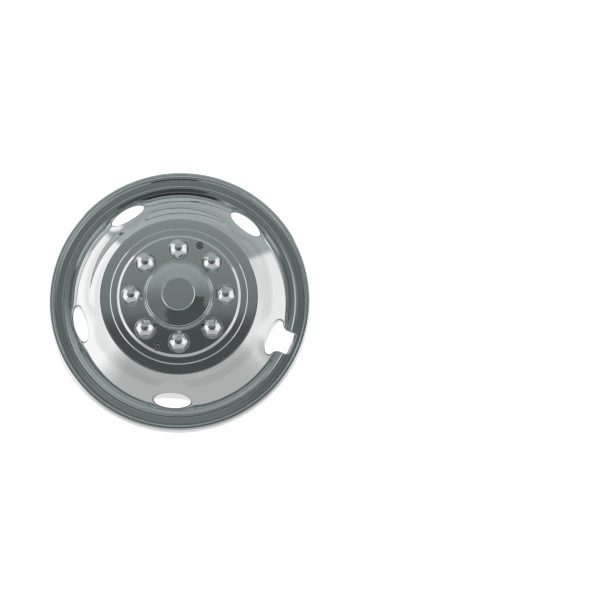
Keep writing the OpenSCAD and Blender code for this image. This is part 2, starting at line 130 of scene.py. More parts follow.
def soft_max(a, b, width):
    """The larger of a and b, with a rounded change from one to the other."""
    share = np.clip(0.5 + (a - b) / (2 * width), 0, 1)
    return a * share + b * (1 - share) + width * share * (1 - share)


def soft_step(x):
    x = np.clip(x, 0, 1)
    return x * x * (3 - 2 * x)


def along(x, y, turn):
    """x and y in the directions outward and around at that turn."""
    return x * math.cos(turn) + y * math.sin(turn), y * math.cos(turn) - x * math.sin(turn)


def liner_z(x, y):
    """Height of the liner's outside: its turned shape, the swellings and the turned strip."""
    r = np.hypot(x, y)
    z = np.interp(r, fine_way[:, 0], fine_way[:, 1])
    for turn in hole_turns:
        out, side = along(x, y, turn)
        cone = 1.0 + (SWELL_R - np.hypot(out - SWELL_CENTRE, side)) * SWELL_SLOPE
        in_band = (r > SWELL_BAND[0]) & (r < SWELL_BAND[1])
        z = np.where(in_band, soft_max(z, cone, SWELL_BLEND), z)
    out, side = along(x, y, hole_turns[0])
    strip = np.interp(STRIP_R, fine_way[:, 0], fine_way[:, 1]) - (STRIP_R - r) * STRIP_SLOPE
    inside = (out > 0) & (r > 209) & (r < STRIP_R + 1)
    lowered = -soft_max(-z, -strip, 0.5)
    return np.where(inside, z + (lowered - z) * soft_step((STRIP_HALF - abs(side)) / 1.2), z)


def liner_normal(x, y):
    """Outward normals of liner_z."""
    e = 0.04
    zx = (liner_z(x + e, y) - liner_z(x - e, y)) / (2 * e)
    zy = (liner_z(x, y + e) - liner_z(x, y - e)) / (2 * e)
    n = np.stack([-zx, -zy, np.ones_like(zx)], -1)
    return n / np.linalg.norm(n, axis=-1, keepdims=True)


def ellipse_level(out, side):
    """About the distance from the edge of a hand hole."""
    p = np.stack([out, side], -1) / HAND_HOLE_HALF
    q = p / HAND_HOLE_HALF
    a, b = np.linalg.norm(p, axis=-1), np.linalg.norm(q, axis=-1) + 1e-9
    return a * (a - 1) / b


def hand_hole_level(turn, notched):
    """A field that is 0 on the edge of that hand hole, below 0 inside it."""
    def level(x, y):
        out, side = along(x, y, turn)
        hole = ellipse_level(out - HAND_HOLE_R, side)
        hole = np.where(out < 0, 500.0, hole)
        if not notched:
            return hole
        r = np.hypot(x, y)
        corner = 3.0
        qx = np.abs(r - (NOTCH_END_R - 20)) - (20 - corner)
        qy = np.abs(side) - (NOTCH_HALF - corner)
        slot = np.hypot(np.maximum(qx, 0), np.maximum(qy, 0)) - corner
        slot = slot + np.minimum(np.maximum(qx, qy), 0)
        slot = np.where(out < 0, 500.0, slot)
        return -soft_max(-hole, -slot, 1.5)
    return level


def round_level(turn, reach, radius):
    cx, cy = reach * math.cos(turn), reach * math.sin(turn)
    return lambda x, y: np.hypot(x - cx, y - cy) - radius


def turned_edge(level, margin):
    """Rings that roll the sheet over into a hole, down to a short flange where there is room."""
    def rings(p, walk, z_at):
        room = soft_step((z_at(p) - 1.6) / 3.0)
        radius, drop = 1.12 + 0.88 * room, 0.02 + 1.6 * room
        q = walk(p, radius)
        d = -unit2(gradient(level, q))
        e = 0.3
        rise = math.atan((z_at(q + d * e) - z_at(q - d * e)) / (2 * e))
        begin = min(radius * (1 + math.sin(rise)), margin * 0.9)
        out = []
        for k in (1, 2):
            q = walk(p, margin + (begin - margin) * k / 3)
            out.append((q, z_at(q), None, d))
        z0 = z_at(walk(p, begin))
        steps = 7
        for k in range(steps + 1):
            psi = rise + (-math.pi / 2 - rise) * k / steps
            q = walk(p, radius * (1 + math.sin(psi)) if k < steps else 0.0)
            z = z0 + radius * (math.cos(psi) - math.cos(rise))
            out.append((q, max(z, 0.03), psi, d))
        out.append((q, max(z - drop, 0.01), -math.pi / 2, d))
        return out
    return rings


def dimple_rings(level, margin):
    """Rings of a pressed dimple with a hole in its floor."""
    way = rounded_way(
        [(0, 0, 0), (2.65, 0, 0.7), (3.5, -DIMPLE_DEPTH, 0.5), (margin, -DIMPLE_DEPTH, 0)],
        15, lambda r: 1.2,
    )

    def rings(p, walk, z_at):
        d = -unit2(gradient(level, p))
        return [(walk(p, margin - h), FACE_Z + z, heading, d) for h, z, heading in way[1:]]
    return rings


def gradient(level, q):
    e = 0.01
    x, y = q
    return np.array([
        float(level(x + e, y) - level(x - e, y)),
        float(level(x, y + e) - level(x, y - e)),
    ]) / (2 * e)


def unit2(v):
    return v / max(1e-9, np.linalg.norm(v))


openings = []
for i, turn in enumerate(hole_turns):
    level = hand_hole_level(turn, i == 0)
    openings.append((level, HOLE_MARGIN, turned_edge(level, HOLE_MARGIN)))
for i in range(STUDS):
    openings.append((round_level(math.tau * i / STUDS, STUD_CIRCLE_R, LUG_HOLE_R), 0.0, None))
for turn in SCREW_TURNS:
    level = round_level(math.radians(turn), SCREW_R, DIMPLE_HOLE_R)
    openings.append((level, DIMPLE_MARGIN, dimple_rings(level, DIMPLE_MARGIN)))


def opening_levels(x, y):
    return np.stack([level(x, y) - margin for level, margin, _ in openings])


def liner_sheet(segments=360):
    """Vertices, normals, faces and rims of the liner's sheet, both sides."""
    angles = np.arange(segments) * math.tau / segments
    r, z, heading = liner_way.T
    x, y = r[:, None] * np.cos(angles), r[:, None] * np.sin(angles)
    height = np.repeat(z[:, None], segments, 1)
    normal = np.stack([
        -np.sin(heading)[:, None] * np.cos(angles),
        -np.sin(heading)[:, None] * np.sin(angles),
        np.repeat(np.cos(heading)[:, None], segments, 1),
    ], -1)
    field = r < SHEET_FIELD_R
    shaped = liner_z(x[field], y[field])
    moved = abs(shaped - height[field]) > 1e-3
    near = moved | np.roll(moved, 1, 1) | np.roll(moved, -1, 1)
    height[field] = np.where(moved, shaped, height[field])
    numeric = liner_normal(x[field], y[field])
    normal[field] = np.where(near[..., None], numeric, normal[field])
    levels = opening_levels(x, y)
    inside = levels.min(0)
    points = [tuple(p) for p in np.stack([x, y, height], -1).reshape(-1, 3)]
    normals = [tuple(n) for n in normal.reshape(-1, 3)]
    faces, crossings, follows = [], {}, {}

    def crossing(a, b):
        key = (min(a, b), max(a, b))
        if key not in crossings:
            p, q = np.array(points[key[0]]), np.array(points[key[1]])
            i, j = divmod(key[0], segments)
            m, n = divmod(key[1], segments)
            k = int(np.argmin(levels[:, i, j] + levels[:, m, n]))
            level, margin, _ = openings[k]
            lo, hi = 0.0, 1.0
            sign = float(level(p[0], p[1])) - margin > 0
            for _ in range(24):
                mid = (lo + hi) / 2
                m = p + (q - p) * mid
                if (float(level(m[0], m[1])) - margin > 0) == sign:
                    lo = mid
                else:
                    hi = mid
            m = p + (q - p) * lo
            crossings[key] = len(points)
            points.append(tuple(m))
            blend = np.array(normals[key[0]]) * (1 - lo) + np.array(normals[key[1]]) * lo
            normals.append(tuple(blend / np.linalg.norm(blend)))
            hole_of[crossings[key]] = k
        return crossings[key]

    hole_of = {}
    for i in range(len(r) - 1):
        for j in range(segments):
            ring = [i * segments + j, (i + 1) * segments + j,
                    (i + 1) * segments + (j + 1) % segments, i * segments + (j + 1) % segments]
            out = [inside[v // segments, v % segments] > 0 for v in ring]
            if all(out):
                faces.append(ring)
            elif any(out):
                face, edge = [], []
                for k in range(4):
                    a, b = ring[k], ring[(k + 1) % 4]
                    if out[k]:
                        face.append(a)
                    if out[k] != out[(k + 1) % 4]:
                        c = crossing(a, b)
                        face.append(c)
                        edge.append((c, out[k]))
                faces.append(face)
                for c in (c for c, going in edge if going):
                    at = face.index(c)
                    follows[c] = face[(at + 1) % len(face)]
    rims = []
    while follows:
        start = next(iter(follows))
        loop = [start]
        while follows.get(loop[-1]) != start:
            loop.append(follows[loop[-1]])
        for v in loop:
            follows.pop(v)
        k = hole_of[start]
        level, margin, rings = openings[k]
        if rings is None:
            facing = []
            for v in loop:
                d = -unit2(gradient(level, points[v][:2]))
                facing.append((d[0], d[1], 0.0))
            rims.append((loop, facing))
            continue

        def walk(p, target):
            q = np.array(p, float)
            here = float(level(*q))
            for share in (1 / 3, 2 / 3, 1.0):
                aim = here + (target - here) * share
                for _ in range(3):
                    g = gradient(level, q)
                    q = q - (float(level(*q)) - aim) * g / max(1e-6, g @ g)
            return q

        def z_at(q):
            return float(liner_z(q[0], q[1]))

        rows = []
        for v in loop:
            p = np.array(points[v][:2])
            rows.append(rings(p, walk, z_at))
        before = loop
        for k in range(len(rows[0])):
            now = []
            for n in range(len(loop)):
                q, height_at, psi, d = rows[n][k]
                if psi is None:
                    normal_at = liner_normal(np.array(q[0]), np.array(q[1]))
                else:
                    inward = -math.sin(psi)
                    normal_at = np.array([inward * d[0], inward * d[1], math.cos(psi)])
                now.append(len(points))
                points.append((q[0], q[1], height_at))
                normals.append(tuple(normal_at))
            for n in range(len(loop)):
                m = (n + 1) % len(loop)
                faces.append([before[m], before[n], now[n], now[m]])
            before = now
        rims.append((before, [(0.0, 0.0, -1.0)] * len(before)))
    first = list(range(segments))
    last = [(len(r) - 1) * segments + j for j in range(segments)]
    rims.append((first, [(-math.cos(a), -math.sin(a), 0.0) for a in angles]))
    rims.append((last[::-1], [(0.0, 0.0, -1.0)] * segments))
    return points, normals, faces, rims


def sheet_object(name, points, normals, faces, rims, thickness):
    """A closed sheet: the outside, the same moved in by the thickness, and the cut edges."""
    outside, normals = np.array(points), np.array(normals)
    used = np.unique(np.concatenate([np.array(f) for f in faces]))
    index = -np.ones(len(outside), int)
    index[used] = np.arange(len(used))
    outside, normals = outside[used], normals[used]
    count = len(used)
    corners = np.concatenate([outside, outside - normals * thickness])
    made, facing = [], []
    for f in faces:
        f = index[f]
        made.append(f)
        facing.append(normals[f])
    for f in faces:
        f = index[f][::-1]
        made.append(f + count)
        facing.append(-normals[f])
    for loop, toward in rims:
        loop, toward = index[loop], np.array(toward)
        for n in range(len(loop)):
            m = (n + 1) % len(loop)
            made.append(np.array([loop[m], loop[n], loop[n] + count, loop[m] + count]))
            facing.append(toward[[m, n, n, m]])
    mesh = bpy.data.meshes.new(name)
    mesh.from_pydata((corners * MM).tolist(), [], [f.tolist() for f in made])
    mesh.polygons.foreach_set("use_smooth", [True] * len(mesh.polygons))
    mesh.update()
    mesh.normals_split_custom_set(np.concatenate(facing).tolist())
    made_object = bpy.data.objects.new(name, mesh)
    bpy.context.scene.collection.objects.link(made_object)
    return made_object


# The last of these is the share of colour that painted shade leaves below the given height.
BROAD_SCALE, LINE_SCALE, PAINTED_SHADE_SHARE = 22, 700, 0.06


def node(tree, kind, **values):
    made = tree.nodes.new(kind)
    for key, value in values.items():
        setattr(made, key, value)
    return made


def join(tree, *pairs):
    for a, b in pairs:
        tree.links.new(a, b)


def metal(name, colour, rough, grain, wave, tint=0.03, lines=0.0, painted_shade_below=None):
    """A metal with fine grain in its roughness, a faint waviness, and polishing lines about Z.

    All of it comes from the object's own coordinates. Below a given height its colour is darkened, as
    painted shade.
    """
    material = bpy.data.materials.new(name)
    material.use_nodes = True
    tree = material.node_tree
    shader = tree.nodes["Principled BSDF"]
    shader.inputs["Metallic"].default_value = 1.0
    place = node(tree, "ShaderNodeTexCoord")
    fine = node(tree, "ShaderNodeTexNoise")
    fine.inputs["Scale"].default_value = grain
    fine.inputs["Detail"].default_value = 4
    broad = node(tree, "ShaderNodeTexNoise")
    broad.inputs["Scale"].default_value = BROAD_SCALE
    join(
        tree,
        (place.outputs["Object"], fine.inputs["Vector"]),
        (place.outputs["Object"], broad.inputs["Vector"]),
    )
    part = node(tree, "ShaderNodeSeparateXYZ")
    flat = node(tree, "ShaderNodeCombineXYZ")
    reach = node(tree, "ShaderNodeVectorMath", operation="LENGTH")
    turned_lines = node(tree, "ShaderNodeTexNoise", noise_dimensions="1D")
    turned_lines.inputs["Scale"].default_value = LINE_SCALE
    turned_lines.inputs["Detail"].default_value = 3
    blended = node(tree, "ShaderNodeMix", data_type="FLOAT")
    blended.inputs["Factor"].default_value = lines
    join(
        tree,
        (place.outputs["Object"], part.inputs[0]), (part.outputs["X"], flat.inputs["X"]),
        (part.outputs["Y"], flat.inputs["Y"]), (flat.outputs[0], reach.inputs[0]),
        (reach.outputs["Value"], turned_lines.inputs["W"]),
        (fine.outputs["Fac"], blended.inputs["A"]), (turned_lines.outputs["Fac"], blended.inputs["B"]),
    )
    roughness = node(tree, "ShaderNodeMapRange")
    roughness.inputs["To Min"].default_value = rough[0]
    roughness.inputs["To Max"].default_value = rough[1]
    shade = node(tree, "ShaderNodeMapRange")
    shade.inputs["To Min"].default_value = 1 - tint
    shade.inputs["To Max"].default_value = 1 + tint
    tinted = node(tree, "ShaderNodeMix", data_type="RGBA", blend_type="MULTIPLY")
    tinted.inputs["Factor"].default_value = 1.0
    tinted.inputs["A"].default_value = (*colour, 1)
    bump = node(tree, "ShaderNodeBump")
    bump.inputs["Strength"].default_value = 1.0
    bump.inputs["Distance"].default_value = wave
    # Painted shade: below the given height the colour is darkened to a small share of itself.
    if painted_shade_below:
        depth = node(tree, "ShaderNodeMapRange")
        depth.inputs["From Min"].default_value = painted_shade_below[0] * MM
        depth.inputs["From Max"].default_value = painted_shade_below[1] * MM
        depth.inputs["To Min"].default_value = PAINTED_SHADE_SHARE
        painted_darkening = node(tree, "ShaderNodeMath", operation="MULTIPLY")
        join(
            tree,
            (part.outputs["Z"], depth.inputs["Value"]), (depth.outputs["Result"], painted_darkening.inputs[0]),
            (shade.outputs["Result"], painted_darkening.inputs[1]), (painted_darkening.outputs[0], tinted.inputs["B"]),
        )
    else:
        join(tree, (shade.outputs["Result"], tinted.inputs["B"]))
    join(
        tree,
        (blended.outputs["Result"], roughness.inputs["Value"]),
        (roughness.outputs["Result"], shader.inputs["Roughness"]),
        (broad.outputs["Fac"], shade.inputs["Value"]),
        (tinted.outputs["Result"], shader.inputs["Base Color"]),
        (broad.outputs["Fac"], bump.inputs["Height"]),
        (bump.outputs["Normal"], shader.inputs["Normal"]),
    )
    return material


liner = sheet_object("polished_liner", *liner_sheet(), SHEET)
liner.data.materials.append(
    metal("polished_stainless", (0.80, 0.815, 0.81), (0.02, 0.07), 900, 0.00002, lines=0.6)
)
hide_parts("wheel_liner")
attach(liner, "root")

# Hub cap: one chromed moulding. Its wall stands on the lug face, and a skirt inside goes
# through the liner and carries the groove of the snap ring.
def solid_object(name, points, faces, normals=None, sharp=None):
    """A closed solid, shaded by given normals, with edges over sharp degrees, or smooth by area."""
    mesh = bpy.data.meshes.new(name)
    mesh.from_pydata((np.array(points) * MM).tolist(), [], faces)
    mesh.polygons.foreach_set("use_smooth", [True] * len(mesh.polygons))
    mesh.update()
    if sharp is not None:
        mesh.set_sharp_from_angle(angle=math.radians(sharp))
    elif normals is None:
        normals = np.zeros((len(points), 3))
        for polygon in mesh.polygons:
            normals[list(polygon.vertices)] += np.array(polygon.normal) * polygon.area
        normals /= np.linalg.norm(normals, axis=1, keepdims=True)
    if sharp is None:
        mesh.normals_split_custom_set_from_vertices(np.array(normals).tolist())
    made_object = bpy.data.objects.new(name, mesh)
    bpy.context.scene.collection.objects.link(made_object)
    return made_object


def turned(name, way, segments=192, closed=False):
    """A solid turned about Z from its way, which starts and ends on the axis or is closed."""
    angles = np.arange(segments) * math.tau / segments
    points, normals, rows = [], [], []
    for r, z, heading in way:
        if r < 1e-6:
            rows.append([len(points)] * segments)
            points.append((0.0, 0.0, z))
            normals.append((0.0, 0.0, math.cos(heading)))
            continue
        rows.append(list(range(len(points), len(points) + segments)))
        for a in angles:
            points.append((r * math.cos(a), r * math.sin(a), z))
            normals.append((
                -math.sin(heading) * math.cos(a),
                -math.sin(heading) * math.sin(a),
                math.cos(heading),
            ))
    faces = []
    pairs = list(zip(rows, rows[1:])) + ([(rows[-1], rows[0])] if closed else [])
    for a, b in pairs:
        for j in range(segments):
            k = (j + 1) % segments
            ring = [a[j], b[j], b[k], a[k]]
            face = [v for n, v in enumerate(ring) if v != ring[n - 1]]
            faces.append(face)
    return solid_object(name, points, faces, normals)


CAP_R, CAP_DRAFT, CAP_FOOT_R = 59.8, 0.3, 62.0
LEDGE_Z = FACE_Z + 13.0
CAP_EDGE_R, CAP_EDGE_Z = 56.3, LEDGE_Z + 2.2
CROWN_R = CAP_EDGE_R - 11
BOSS_FOOT = (28.9, CAP_EDGE_Z + 2.4)
BOSS_TOP = (27.7, CAP_EDGE_Z + 4.8)
SKIRT_R, SKIRT_END_Z, CAP_WALL = 54.5, FACE_Z - 12.0, 2.4
WIRE_R = 1.1
WIRE_Z = FACE_Z - SHEET - WIRE_R - 0.1
hub_cap = turned("hub_cap_shell", rounded_way([
    (0, BOSS_TOP[1], 0), (*BOSS_TOP, 0.7), (*BOSS_FOOT, 0.5),
    (CROWN_R, CAP_EDGE_Z + 1.2, 90), (CAP_EDGE_R, CAP_EDGE_Z, 1.7),
    (CAP_EDGE_R + CAP_DRAFT, LEDGE_Z, 0.4), (CAP_R, LEDGE_Z, 2.2),
    (CAP_R + CAP_DRAFT, FACE_Z + 1.8, 0.8), (CAP_FOOT_R, FACE_Z + 1.8, 0.7),
    (CAP_FOOT_R, FACE_Z + 0.02, 0.3), (CAP_R - CAP_WALL, FACE_Z + 0.02, 0.3),
    (CAP_R - CAP_WALL, LEDGE_Z - CAP_WALL, 0.4), (SKIRT_R, LEDGE_Z - CAP_WALL, 0.4),
    (SKIRT_R, WIRE_Z + WIRE_R + 0.1, 0.2), (SKIRT_R - WIRE_R, WIRE_Z + WIRE_R + 0.1, 0.2),
    (SKIRT_R - WIRE_R, WIRE_Z - WIRE_R - 0.1, 0.2), (SKIRT_R, WIRE_Z - WIRE_R - 0.1, 0.2),
    (SKIRT_R, SKIRT_END_Z, 0.8), (SKIRT_R - CAP_WALL, SKIRT_END_Z, 0.8),
    (SKIRT_R - CAP_WALL, LEDGE_Z - CAP_WALL, 1.5), (0, LEDGE_Z - CAP_WALL, 0),
], 12), 240)
hub_cap.data.materials.append(
    metal("cap_chrome", (0.80, 0.815, 0.82), (0.02, 0.05), 900, 0.00001, lines=0.3)
)
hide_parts("hub_cap")
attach(hub_cap, "root")

# Snap ring: round spring wire in the skirt's groove, open at the bottom of the wheel. It holds
# the cap to the liner from behind. Bent from dark, oiled wire.
WIRE_GAP = math.radians(16)
wire_ring_r = SKIRT_R + 0.05
points, faces = [], []
wire_steps, wire_sides = 120, 16
for i in range(wire_steps + 1):
    a = -math.pi / 2 + WIRE_GAP / 2 + (math.tau - WIRE_GAP) * i / wire_steps
    for j in range(wire_sides):
        b = math.tau * j / wire_sides
        r = wire_ring_r + WIRE_R * math.cos(b)
        points.append((r * math.cos(a), r * math.sin(a), WIRE_Z + WIRE_R * math.sin(b)))
for i in range(wire_steps):
    for j in range(wire_sides):
        k = (j + 1) % wire_sides
        faces.append([i * wire_sides + j, (i + 1) * wire_sides + j,
                      (i + 1) * wire_sides + k, i * wire_sides + k])
faces.append(list(range(wire_sides)))
faces.append(list(range(wire_steps * wire_sides, (wire_steps + 1) * wire_sides))[::-1])
snap_ring = solid_object("snap_ring_wire", points, faces)
spring_steel = metal("spring_steel", (0.20, 0.21, 0.22), (0.35, 0.5), 1500, 0.0)
snap_ring.data.materials.append(spring_steel)
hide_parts("hub_cap_snap_ring")
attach(snap_ring, "root")

# Lug covers: chromed, pushed on from the front. A hexagon with a turned chamfer and a slightly
# domed top, on a round sloping flange; behind, a neck and the socket over stud and nut.
COVER_HALF = 13.4
COVER_CORNER_R, COVER_BEVEL, COVER_FOOT = 1.3, 0.9, 0.8
COVER_TOP_R, COVER_TOP_Z, COVER_DOME = 6.5, FACE_Z + 21.5, 0.8
COVER_SLOPE = math.tan(math.radians(43))
FLANGE_R, FLANGE_H, FLANGE_EDGE = 19.0, 3.4, 0.9
NECK_R, NECK_END_Z = 14.5, FACE_Z - 6.0
SOCKET_R, SOCKET_END_Z = 11.0, FACE_Z + 11.5
COVER_TURNS = (41, 30, 30, 33, 13, 0, 0, 0)


def rounded_hexagon(half, corner_r, flat_steps=6, corner_steps=6):
    """Points around a hexagon with rounded corners, the same number for every side."""
    out = []
    for side in range(6):
        corner = math.radians(60 * side)
        reach = (half - corner_r) / math.cos(math.radians(30))
        centre = np.array([math.cos(corner), math.sin(corner)]) * reach
        for k in range(corner_steps):
            a = corner + math.radians(-30 + 60 * k / corner_steps)
            out.append(centre + corner_r * np.array([math.cos(a), math.sin(a)]))
        following = math.radians(60 * (side + 1))
        after, before = corner + math.pi / 6, following - math.pi / 6
        start = centre + corner_r * np.array([math.cos(after), math.sin(after)])
        end = np.array([math.cos(following), math.sin(following)]) * reach
        end = end + corner_r * np.array([math.cos(before), math.sin(before)])
        out += [start + (end - start) * k / flat_steps for k in range(flat_steps)]
    return np.array(out)


def bent(t, start, corner, end):
    """A point along a soft bend from start to end, about that corner."""
    return (1 - t) ** 2 * start + 2 * t * (1 - t) * corner + t * t * end


def cover_mesh():
    """Points and faces of a lug cover that stands on the lug face, about its own middle."""
    hexagon = rounded_hexagon(COVER_HALF, COVER_CORNER_R)
    reach = np.linalg.norm(hexagon, axis=1)
    way = hexagon / reach[:, None]
    count = len(way)

    def cone_z(r):
        return COVER_TOP_Z - COVER_DOME - (r - COVER_TOP_R) * COVER_SLOPE

    def flange_z(r):
        fall = (FLANGE_H - FLANGE_EDGE) / (FLANGE_R - COVER_HALF)
        return FACE_Z + FLANGE_H - (r - COVER_HALF) * fall

    rings = []
    crown = rounded_way([
        (0, COVER_TOP_Z, 0), (COVER_TOP_R, COVER_TOP_Z - COVER_DOME, 3.0),
        (COVER_HALF, cone_z(COVER_HALF), 0),
    ], 7, lambda r: 1.6)
    round_r = COVER_HALF - 3.0
    for r, z, _ in crown[1:]:
        if r < round_r:
            rings.append((np.full(count, r), np.full(count, z)))
    for share in (0.45, 1.0):
        r = round_r * (1 - share) + (reach - COVER_BEVEL) * share
        rings.append((r, cone_z(r)))
    for k in range(1, 6):
        r = bent(k / 5, reach - COVER_BEVEL, reach, reach)
        z = bent(k / 5, cone_z(reach - COVER_BEVEL), cone_z(reach), cone_z(reach) - COVER_BEVEL)
        rings.append((r, z))
    rings.append((reach, flange_z(reach) + COVER_FOOT))
    for k in range(1, 5):
        r = bent(k / 4, reach, reach, reach + COVER_FOOT)
        z = bent(k / 4, flange_z(reach) + COVER_FOOT, flange_z(reach), flange_z(reach + COVER_FOOT))
        rings.append((r, z))
    below = rounded_way([
        (FLANGE_R - 1.2, flange_z(FLANGE_R - 1.2), 0), (FLANGE_R, FACE_Z + FLANGE_EDGE, 0.5),
        (FLANGE_R, FACE_Z + 0.02, 0.15), (NECK_R, FACE_Z + 0.02, 0.2), (NECK_R, NECK_END_Z, 0.6),
        (SOCKET_R, NECK_END_Z, 0.6), (SOCKET_R, SOCKET_END_Z, 1.0), (0, SOCKET_END_Z, 0),
    ], 22, lambda r: 20.0)
    for r, z, _ in below[:-1]:
        rings.append((np.full(count, r), np.full(count, z)))
    points = [(0, 0, COVER_TOP_Z)]
    for r, z in rings:
        xy = way * r[:, None]
        points += [(x, y, h) for (x, y), h in zip(xy, z)]
    points.append((0, 0, SOCKET_END_Z))
    faces = [[0, 1 + j, 1 + (j + 1) % count] for j in range(count)]
    for i in range(len(rings) - 1):
        a, b = 1 + i * count, 1 + (i + 1) * count
        for j in range(count):
            k = (j + 1) % count
            faces.append([a + j, b + j, b + k, a + k])
    last = 1 + (len(rings) - 1) * count
    faces += [[last + j, len(points) - 1, last + (j + 1) % count] for j in range(count)]
    return np.array(points, float), faces


cover_points, cover_faces = cover_mesh()
cover_chrome = metal("cover_chrome", (0.86, 0.865, 0.87), (0.02, 0.05), 900, 0.00001)
for i, turn in enumerate(COVER_TURNS):
    place, turn = math.tau * i / STUDS, math.radians(turn)
    x, y, z = cover_points.T
    points = np.stack([
        STUD_CIRCLE_R * math.cos(place) + x * math.cos(turn) - y * math.sin(turn),
        STUD_CIRCLE_R * math.sin(place) + x * math.sin(turn) + y * math.cos(turn),
        z,
    ], -1)
    cover = solid_object(f"chrome_cover_{i + 1}", points, cover_faces)
    cover.data.materials.append(cover_chrome)
    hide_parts(f"lug_cover_{i + 1}")
    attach(cover, "root")


# Face screws: turned steel with a low head, a pressed cross for the driver and a cut thread.
# Bright on top; in the cross and down the side of the head the colour is darkened with painted shade.
# They stand in the dimples.
CROSS_R, CROSS_HALF, CROSS_FLOOR = 3.2, 0.64, 0.95
HEAD_SECTION = [
    (4.0, 2.13), (4.15, 2.02), (5.02, 0.96), (5.1, 0.84), (5.1, 0.08), (5.02, 0.0),
    (2.6, 0.0), (2.35, -0.25),
]
SHANK_R, SHANK_L, THREAD_PITCH, THREAD_DEPTH = 2.4, 16.0, 0.8, 0.42
arm_corner = math.atan2(CROSS_HALF, CROSS_R)
quarter = [0, arm_corner, math.pi / 4, math.pi / 2 - arm_corner, *np.radians([6, 22, 33, 57, 68, 84])]
screw_angles = np.array(sorted({round(a + math.pi / 2 * q, 9) for q in range(4) for a in quarter}))
along_arm = np.abs((screw_angles + math.pi / 4) % (math.pi / 2) - math.pi / 4)
cross_r = np.minimum(CROSS_R / np.cos(along_arm), CROSS_HALF / np.maximum(np.sin(along_arm), 1e-6))
screw_rings = [(cross_r * 0.82, CROSS_FLOOR), (cross_r * 0.98, 2.16 + 0.08), (cross_r + 0.1, 2.32)]
for r, z in HEAD_SECTION:
    screw_rings.append((np.full(len(screw_angles), r), z))
for k in range(1, int((SHANK_L - 1.6) / THREAD_PITCH * 5)):
    z = -0.4 - k * THREAD_PITCH / 5
    turns = (screw_angles / math.tau + z / THREAD_PITCH) % 1
    screw_rings.append((SHANK_R - 0.02 - THREAD_DEPTH * (1 - np.abs(2 * turns - 1)), z))
screw_rings.append((np.full(len(screw_angles), SHANK_R - THREAD_DEPTH), -SHANK_L + 1.0))
screw_rings.append((np.full(len(screw_angles), SHANK_R - THREAD_DEPTH - 0.8), -SHANK_L + 0.02))
count = len(screw_angles)
# The screws get painted shade below the dimple's face, in the cross and down the side of the head.
screw_steel = metal(
    "screw_steel", (0.74, 0.75, 0.74), (0.08, 0.14), 1500, 0.0, painted_shade_below=(FACE_Z - 0.05, FACE_Z + 0.25)
)
for i, turn in enumerate(SCREW_TURNS):
    turn = math.radians(turn)
    centre = np.array([SCREW_R * math.cos(turn), SCREW_R * math.sin(turn), FACE_Z - DIMPLE_DEPTH])
    points = [centre + (0, 0, CROSS_FLOOR)]
    for r, z in screw_rings:
        for a, reach in zip(screw_angles + math.pi / 4, r):
            points.append(centre + (reach * math.cos(a), reach * math.sin(a), z))
    points.append(centre + (0, 0, -SHANK_L + 0.02))
    faces = [[0, 1 + j, 1 + (j + 1) % count] for j in range(count)]
    for k in range(len(screw_rings) - 1):
        for j in range(count):
            a, b, c = 1 + k * count, 1 + (k + 1) * count, (j + 1) % count
            faces.append([a + j, b + j, b + c, a + c])
    last = 1 + (len(screw_rings) - 1) * count
    faces += [[last + j, len(points) - 1, last + (j + 1) % count] for j in range(count)]
    screw = solid_object(f"cross_screw_{i + 1}", points, faces, sharp=34)
    screw.data.materials.append(screw_steel)
    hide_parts(f"face_screw_{i + 1}")
    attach(screw, "root")


# Push-on rings: stamped from spring steel, slotted into teeth, and pushed on each lug cover's
# neck from behind. They keep the shape of their solids, and so do the pieces of the next two.
def finish_nodes(start, finish):
    """Gives that finish to the solids whose names begin so."""
    for name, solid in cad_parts.items():
        if name.startswith(start):
            for holder in solid.material_slots:
                holder.material = finish


finish_nodes("lug_cover_retainer", spring_steel)

# Mounting brackets: folded from thick steel sheet and plated, each bolted under two of the
# wheel's own nuts. The liner hangs on them.
finish_nodes("mounting_bracket", metal("zinc_plate", (0.55, 0.54, 0.50), (0.3, 0.45), 1200, 0.00001))

# Clip nuts: folded from spring steel to a U and pushed over the edge of each bracket, where
# they take the face screws.
finish_nodes("clip_nut", spring_steel)

# Floor: plain and pale. It glows for the camera alone, so that it is seen as white and keeps
# the wheel's shadow, and the metal looks through it to the studio.
FLOOR_HALF = 8.0
FLOOR_GLOW, FLOOR_GREY = 0.55, 0.8
mesh = bpy.data.meshes.new("floor")
mesh.from_pydata([(-FLOOR_HALF, -FLOOR_HALF, 0), (FLOOR_HALF, -FLOOR_HALF, 0),
                  (FLOOR_HALF, FLOOR_HALF, 0), (-FLOOR_HALF, FLOOR_HALF, 0)], [], [(0, 1, 2, 3)])
floor = bpy.data.objects.new("floor", mesh)
bpy.context.scene.collection.objects.link(floor)
material = bpy.data.materials.new("floor_white")
material.use_nodes = True
tree = material.node_tree
tree.nodes.clear()
path = node(tree, "ShaderNodeLightPath")
glow_share = node(tree, "ShaderNodeMath", operation="MULTIPLY")
glow_share.inputs[1].default_value = FLOOR_GLOW
glow = node(tree, "ShaderNodeEmission")
glow.inputs["Color"].default_value = (1, 1, 1, 1)
matt = node(tree, "ShaderNodeBsdfDiffuse")
matt.inputs["Color"].default_value = (FLOOR_GREY, FLOOR_GREY, FLOOR_GREY, 1)
both = node(tree, "ShaderNodeAddShader")
clear = node(tree, "ShaderNodeBsdfTransparent")
unmirrored = node(tree, "ShaderNodeMixShader")
end = node(tree, "ShaderNodeOutputMaterial")
join(
    tree,
    (path.outputs["Is Camera Ray"], glow_share.inputs[0]),
    (glow_share.outputs[0], glow.inputs["Strength"]),
    (glow.outputs[0], both.inputs[0]), (matt.outputs[0], both.inputs[1]),
    (path.outputs["Is Glossy Ray"], unmirrored.inputs["Fac"]),
    (both.outputs[0], unmirrored.inputs[1]), (clear.outputs[0], unmirrored.inputs[2]),
    (unmirrored.outputs[0], end.inputs["Surface"]),
)
floor.data.materials.append(material)

